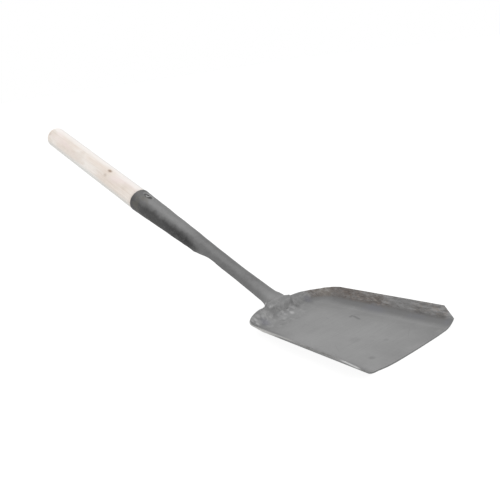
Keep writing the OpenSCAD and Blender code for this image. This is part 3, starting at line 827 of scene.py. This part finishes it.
def edge_material():
    m = Mat("cut_edge")
    s = m.xyz()
    wear = m.noise(160, 4, 0.6)
    burr = m.noise(500, 2, 0.5, src=m.mapping(scale=(1, 0.2, 1)))
    base = m.mix(m.ramp(wear, 0.35, 0.65), grey(0.30, 0.01), grey(0.20, 0.01))
    # painted highlight: lighter at the back and bright on the slanted corner cuts; painted shade: dark along
    # the scooping edge
    back = m.ramp(s[1], -0.030, 0.040)
    base = m.coat(base, (0.52, 0.517, 0.505, 1), back, 0.70)
    cut = m.mul(m.ramp(s[1], -0.058, -0.074), m.ramp(s[1], -0.087, -0.081))
    base = m.mix(cut, base, grey(0.62))
    lip = m.mul(m.ramp(s[1], -0.078, -0.086), m.ramp(s[2], 0.009, 0.006))
    base = m.mix(lip, base, grey(0.15))
    base = m.coat(base, grey(0.42), m.ramp(burr, 0.5, 0.7), 0.25)
    rough = m.ramp(wear, 0.3, 0.7, 0.30, 0.48)
    return m.finish(base, rough, m.bump(burr, 0.3, 0.0002), metallic=0.75)


def underside_material():
    m = Mat("tray_underside")
    wall = m.attr("wall")
    s = m.xyz()
    cloud = m.noise(24, 4, 0.6)
    fine = m.noise(420, 3, 0.6)
    # the outer skin: mill scale, and darker than the inside as painted shade against the light from the floor
    base = m.mix(m.ramp(cloud, 0.3, 0.7), grey(0.085), grey(0.115))
    base = m.coat(base, grey(0.06, 0.02), m.ramp(fine, 0.5, 0.75), 0.35)
    # painted light on the outer wall towards the back, brighter still near the rim
    base = m.coat(base, (0.30, 0.292, 0.275, 1), m.ramp(s[1], 0.030, 0.068), m.ramp(wall, 0.6, 1.2))
    painted_rim_light = m.mul(m.ramp(s[1], 0.030, 0.060), m.ramp(s[1], 0.100, 0.080))
    base = m.coat(base, (0.52, 0.515, 0.50, 1), painted_rim_light, m.ramp(wall, 1.2, 1.8))
    # bare and scraped where the floor slides over the ground, mostly along the tray
    scrape = m.noise(130, 4, 0.65, src=m.mapping(scale=(1, 0.06, 1)))
    worn_at = m.mul(m.ramp(wall, 0.0, 0.35, 1, 0.15), m.ramp(s[1], 0.06, -0.06, 0.35, 1.0))
    base = m.coat(base, grey(0.26), m.mul(m.ramp(scrape, 0.42, 0.62), worn_at), 0.7)
    rust = m.patches(60, 4, 0.65, 0.54, 0.68, loc=(5, 5, 5))
    base = m.coat(base, (0.150, 0.118, 0.098, 1), rust, m.ramp(wall, 0.2, 1.2, 0.15, 0.6))
    tint_at = m.mul(m.spot(JOINT, 0.050, 0.3), m.patches(60, 2, 0.5, 0.42, 0.6))
    base = m.coat(base, (0.14, 0.135, 0.155, 1), tint_at, 0.5)
    rough = m.mul_add(rust, 0.2, m.ramp(cloud, 0.2, 0.8, 0.46, 0.58))
    h = m.add(m.mul(fine, 0.3), m.mul(scrape, 0.5))
    return m.finish(base, rough, m.bump(h, 0.35, 0.0002), metallic=0.6)


def shank_material():
    m = Mat("shank_steel")
    along, turn = m.attr("along"), m.math("ABSOLUTE", m.attr("turn"))
    cloud = m.noise(26, 4, 0.6)
    mott = m.noise(85, 5, 0.65)
    fine = m.noise(480, 3, 0.6)
    drawn = m.noise(70, 4, 0.6, src=m.mapping(scale=(6, 0.35, 6), rot=(-LIFT, 0, 0)))
    base = m.mix(m.ramp(cloud, 0.3, 0.7), grey(0.165), grey(0.205))
    base = m.coat(base, grey(0.125), m.ramp(mott, 0.45, 0.68), 0.45)
    base = m.coat(base, grey(0.24), m.ramp(drawn, 0.5, 0.75), 0.3)
    base = m.coat(base, grey(0.11), m.ramp(fine, 0.55, 0.8), 0.3)
    # lighter where the strip nears the tray, and a painted highlight on the socket's crown
    base = m.mix(m.ramp(along, 0.012, 0.060, 0.75, 0.0), base, grey(0.245))
    base = m.mix(m.ramp(along, 0.010, 0.026, 0.60, 0.0), base, grey(0.275))
    base = joint_paint(m, base, m.ramp(along, 0.004, 0.014, 0.60, 0.0))[0]
    crown_at = m.mul(m.ramp(turn, 0.35, 1.0, 1, 0),
                     m.mul(m.ramp(along, 0.17, 0.21), m.ramp(along, 0.285, 0.325, 1, 0)))
    base = m.coat(base, grey(0.26), crown_at, 0.5)
    # forge scale and painted shade on the socket's flanks, darkest underneath and at its low end
    rough_edge = m.mul_add(m.noise(55, 4, 0.6, src=m.mapping(loc=(3, 3, 9))), 1.1, m.sub(turn, 0.55))
    flank = m.mul(m.ramp(rough_edge, 0.62, 1.25), m.ramp(along, 0.160, 0.19))
    base = m.coat(base, grey(0.052, 0.01), flank, 0.84)
    # painted shade underneath, against the light from the floor
    below = m.mul(m.ramp(turn, 1.25, 2.2), m.ramp(along, 0.160, 0.19))
    base = m.coat(base, grey(0.020, 0.01), below, 0.80)
    low_end = m.mul(m.ramp(turn, 0.95, 1.45),
                    m.mul(m.ramp(along, 0.150, 0.172), m.ramp(along, 0.250, 0.215)))
    base = m.coat(base, grey(0.030, 0.01), low_end, 0.72)
    flecks = m.mul(m.patches(190, 4, 0.65, 0.53, 0.66, loc=(6, 2, 2)), m.ramp(along, 0.150, 0.18))
    base = m.coat(base, grey(0.17), flecks, 0.30)
    # painted shade: darker patches near the socket's mouth, and a painted shadow line at its edge where the
    # wood goes in
    mouth = m.mul(m.ramp(along, 0.285, 0.322), m.patches(60, 3, 0.6, 0.3, 0.6, 0.5, 1.0, loc=(4, 4, 4)))
    base = m.coat(base, (0.105, 0.103, 0.104, 1), mouth, 0.75)
    lip = m.ramp(along, 0.3285, 0.3305)
    base = m.coat(base, (0.075, 0.060, 0.050, 1), lip, 0.7)
    olive = m.mul(m.ramp(along, 0.26, 0.32), m.patches(75, 3, 0.6, 0.54, 0.64, loc=(8, 1, 4)))
    base = m.coat(base, (0.155, 0.145, 0.118, 1), olive, 0.40)
    pits = m.ramp(m.voronoi(210), 0.05, 0.16, 1, 0)
    pits = m.mul(pits, m.patches(45, 2, 0.5, 0.52, 0.6, loc=(2, 6, 1)))
    base = m.coat(base, grey(0.09), pits, 0.6)
    # nail's seat: a painted highlight in a bright ring round a dark centre
    hc = m.on_handle()
    # a stretched mark is two spots: place across, size, softness, stretch along, colour, how much
    bright = (0.0016, 0.0056, 0.70, 0.60, grey(0.33), 0.70)
    centre = (-0.0003, 0.0042, 0.55, 0.58, grey(0.055), 0.9)
    marks = ((-4.5, bright), (4.0, bright), (-5.0, centre), (3.5, centre))
    for shift, (x, size, soft, long, colour, k) in marks:
        seat_at = m.spot((x, (nail_t + shift) * MM, nail_u * MM), size, soft, src=hc, stretch=(1, long, 1))
        base = m.coat(base, colour, seat_at, k)
    rough = m.ramp(cloud, 0.2, 0.8, 0.42, 0.56)
    rough = m.add(rough, m.mul(flank, 0.10), clamp=True)
    h = m.add(m.mul(fine, 0.3), m.mul(mott, 0.8))
    h = m.add(h, m.mul(drawn, 0.4))
    h = m.sub(h, m.mul(pits, 1.5))
    return m.finish(base, rough, m.bump(h, 0.4, 0.00025), metallic=0.6)


def weld_material():
    m = Mat("weld_steel")
    mott = m.noise(240, 4, 0.6)
    fine = m.noise(900, 2, 0.6)
    base = m.mix(m.ramp(mott, 0.38, 0.62), grey(0.215), grey(0.255))
    base = joint_paint(m, base)[0]
    base = m.coat(base, grey(0.36), m.ramp(m.attr("ripple"), -0.10, 0.25), 0.12)
    rough = m.ramp(mott, 0.3, 0.7, 0.42, 0.55)
    return m.finish(base, rough, m.bump(m.add(mott, m.mul(fine, 0.4)), 0.35, 0.0003), metallic=0.62)


def wood_material():
    m = Mat("handle_wood")
    hc = m.on_handle()
    s = m.xyz(hc)
    warp = m.noise(9, 2, 0.5, src=m.mapping(scale=(1, 0.35, 1), src=hc))
    # growth rings: distance from a pith that lies outside the stick
    cx = m.add(s[0], 0.021)
    cz = m.add(s[2], m.mul(s[1], 0.02))
    from_pith = m.math("SQRT", m.add(m.mul(cx, cx), m.mul(cz, cz)))
    phase = m.add(m.mul(from_pith, 2300), m.mul(warp, 22))
    growth = m.mul_add(m.math("SINE", phase), 0.5, 0.5)
    growth = m.math("POWER", growth, 3.0)
    fibre = m.noise(260, 4, 0.6, src=m.mapping(scale=(1, 0.035, 1), src=hc))
    fibre2 = m.noise(900, 3, 0.6, src=m.mapping(scale=(1, 0.03, 1), src=hc))
    patch = m.noise(16, 3, 0.5, src=m.mapping(scale=(1, 0.5, 1), src=hc))
    base = m.mix(m.ramp(patch, 0.42, 0.58), (0.835, 0.752, 0.685, 1), (0.905, 0.862, 0.820, 1))
    blot = m.noise(42, 3, 0.6, src=m.mapping(scale=(1, 0.6, 1), loc=(4, 1, 8), src=hc))
    base = m.coat(base, (0.765, 0.690, 0.625, 1), m.ramp(blot, 0.50, 0.62), 0.60)
    base = m.coat(base, (0.700, 0.580, 0.480, 1), growth, 0.20)
    base = m.coat(base, (0.660, 0.575, 0.500, 1), m.ramp(fibre, 0.46, 0.66), 0.26)
    base = m.coat(base, (0.60, 0.49, 0.40, 1), m.ramp(fibre2, 0.52, 0.70), 0.34)
    pinkish = m.mul(m.ramp(s[2], 0.004, 0.014),
                    m.patches(30, 2, 0.5, 0.48, 0.6, scale=(1, 0.4, 1), loc=(2, 0, 5), src=hc))
    base = m.coat(base, (0.86, 0.72, 0.72, 1), pinkish, 0.35)
    # painted shade: cooler, greyer patches and a darker grey on the underside of the stick
    cool = m.mul(m.patches(24, 2, 0.5, 0.5, 0.62, scale=(1, 0.3, 1), loc=(7, 0, 1), src=hc),
                 m.ramp(s[2], 0.004, -0.008))
    base = m.coat(base, (0.70, 0.71, 0.70, 1), cool, 0.35)
    under = m.ramp(s[2], 0.004, -0.008)
    base = m.coat(base, (0.600, 0.602, 0.582, 1), under, 0.84)
    # painted highlight along the upper right of the stick, with a thin greyer line of painted shade beyond
    over = m.mul_add(s[0], 0.73, m.mul(s[2], 0.68))
    base = m.coat(base, (0.950, 0.915, 0.888, 1), m.ramp(over, 0.0055, 0.0125), 0.70)
    base = m.coat(base, (0.760, 0.760, 0.750, 1), m.ramp(over, 0.0142, 0.0168), 0.70)
    # two knots side by side and a stain near the end
    knot_marks = None
    for t, deg, size, k, st in ((397.4, -16.6, 0.0042, 1.0, 0.55), (398.5, -50.4, 0.0034, 0.38, 0.6),
                                (581.0, -53.8, 0.0042, 0.35, 0.8), (446.0, 150.0, 0.0046, 0.9, 0.6),
                                (520.0, 100.0, 0.0030, 0.6, 0.6)):
        a = rad(deg)
        c = (GRIP_R * math.sin(a) * MM, t * MM, GRIP_R * math.cos(a) * MM)
        sp = m.mul(m.spot(c, size, 0.15, src=hc, stretch=(1, st, 1)), k)
        halo = m.mul(m.spot(c, size * 2.6, 0.3, src=hc, stretch=(1, 0.4, 1)), 0.22 * k)
        base = m.mix(halo, base, (0.66, 0.50, 0.38, 1))
        base = m.coat(base, (0.29, 0.19, 0.125, 1), sp, 0.85)
        knot_marks = sp if knot_marks is None else m.math("MAXIMUM", knot_marks, sp)
    # handling dirt where the wood meets the socket, and darker end grain
    dirt = m.mul(m.ramp(s[1], 0.3265, 0.3190), m.ramp(m.noise(150, 3, 0.6, src=hc), 0.3, 0.7, 0.3, 1.0))
    base = m.coat(base, (0.42, 0.36, 0.31, 1), dirt, 0.4)
    end_grain = m.ramp(s[1], 0.5885, 0.5897)
    base = m.coat(base, (0.62, 0.50, 0.40, 1), end_grain, m.mul_add(growth, 0.4, 0.25))
    rough = m.ramp(fibre, 0.3, 0.7, 0.52, 0.68)
    h = m.add(m.mul(fibre, 0.8), m.mul(fibre2, 0.5))
    h = m.sub(h, m.mul(growth, 0.25))
    h = m.sub(h, m.mul(knot_marks, 0.8))
    return m.finish(base, rough, m.bump(h, 0.35, 0.0003), spec=0.35)


def nail_material():
    m = Mat("nail_steel")
    n1 = m.noise(420, 4, 0.6)
    base = m.mix(m.ramp(n1, 0.4, 0.62), grey(0.13), grey(0.05, 0.04))
    edge = m.spot(tuple(at(nail_t, nail_u + 0.8)), 0.0034, 0.55)
    base = m.mix(edge, grey(0.42), base)
    rough = m.ramp(n1, 0.3, 0.7, 0.35, 0.6)
    return m.finish(base, rough, m.bump(n1, 0.4, 0.0002), metallic=0.8)


# the tray's skins and rim take its three materials in the order that the thickness modifier counts them
for ob, node, slot, makers in ((tray, "tray", "tray_steel",
                                (tray_material, edge_material, underside_material)),
                               (shank, "shank", "shank_steel", (shank_material,)),
                               (weld, "weld", "weld_steel", (weld_material,)),
                               (handle, "handle", "handle_wood", (wood_material,)),
                               (nail, "nail", "nail_steel", (nail_material,))):
    for maker in makers:
        ob.data.materials.append(maker())
    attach(ob, "root")
    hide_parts(node)

# ---------------------------------------------------------------- floor, light, camera
WHITE, GROUND_HALF = (1, 1, 1, 1), 12
floor_me = bpy.data.meshes.new("floor")
corners = [(x * GROUND_HALF, y * GROUND_HALF, 0) for x, y in ((-1, -1), (1, -1), (1, 1), (-1, 1))]
floor_me.from_pydata(corners, [], [(0, 1, 2, 3)])
floor = bpy.data.objects.new("floor", floor_me)
scene.collection.objects.link(floor)
floor.location.z = -0.0002
fm = bpy.data.materials.new("floor_white")
fm.use_nodes = True
fb = next(n for n in fm.node_tree.nodes if n.type == "BSDF_PRINCIPLED")
# mostly its own light, so that it stays white, with a little reflection for a faint shadow
for name, value in (("Base Color", grey(0.18)), ("Roughness", 0.9), ("Specular IOR Level", 0.1),
                    ("Emission Color", WHITE), ("Emission Strength", 0.91)):
    fb.inputs[name].default_value = value
floor.data.materials.append(fm)

# soft light from all round, and a backdrop beyond the floor's far edge that is as white as the floor
world = bpy.data.worlds.new("studio")
scene.world = world
world.use_nodes = True
nodes, links = world.node_tree.nodes, world.node_tree.links
around = next(n for n in nodes if n.type == "BACKGROUND")
backdrop = nodes.new("ShaderNodeBackground")
for shade, strength in ((around, 0.80), (backdrop, 1.0)):
    shade.inputs["Color"].default_value = WHITE
    shade.inputs["Strength"].default_value = strength
pick = nodes.new("ShaderNodeMixShader")
links.new(nodes.new("ShaderNodeLightPath").outputs["Is Camera Ray"], pick.inputs[0])
links.new(around.outputs[0], pick.inputs[1])
links.new(backdrop.outputs[0], pick.inputs[2])
links.new(pick.outputs[0], next(n for n in nodes if n.type == "OUTPUT_WORLD").inputs["Surface"])

top_data = bpy.data.lights.new("top_light", "AREA")
top_data.shape, top_data.size, top_data.energy = "SQUARE", 2.6, 16
top_light = bpy.data.objects.new("top_light", top_data)
scene.collection.objects.link(top_light)
top_light.location = (0.2, 0.4, 2.4)
aim = Vector((0, 0.15, 0.05)) - top_light.location
top_light.rotation_euler = aim.to_track_quat("-Z", "Y").to_euler()

cam_data = bpy.data.cameras.new("camera")
cam_data.sensor_width, cam_data.lens = 36.0, 48.56
cam_data.clip_start, cam_data.clip_end = 0.01, 50
cam = bpy.data.objects.new("camera", cam_data)
scene.collection.objects.link(cam)
turn_z, tilt, roll = rad(-38.988), rad(90 - 16.226), rad(-7.704)
cam.matrix_world = (Matrix.Translation((-0.5251, -0.4915, 0.32015)) @ Matrix.Rotation(turn_z, 4, "Z")
                    @ Matrix.Rotation(tilt, 4, "X") @ Matrix.Rotation(roll, 4, "Z"))
scene.camera = cam
scene.view_settings.view_transform = "Standard"
scene.view_settings.look = "None"
scene.view_settings.exposure = 0.0
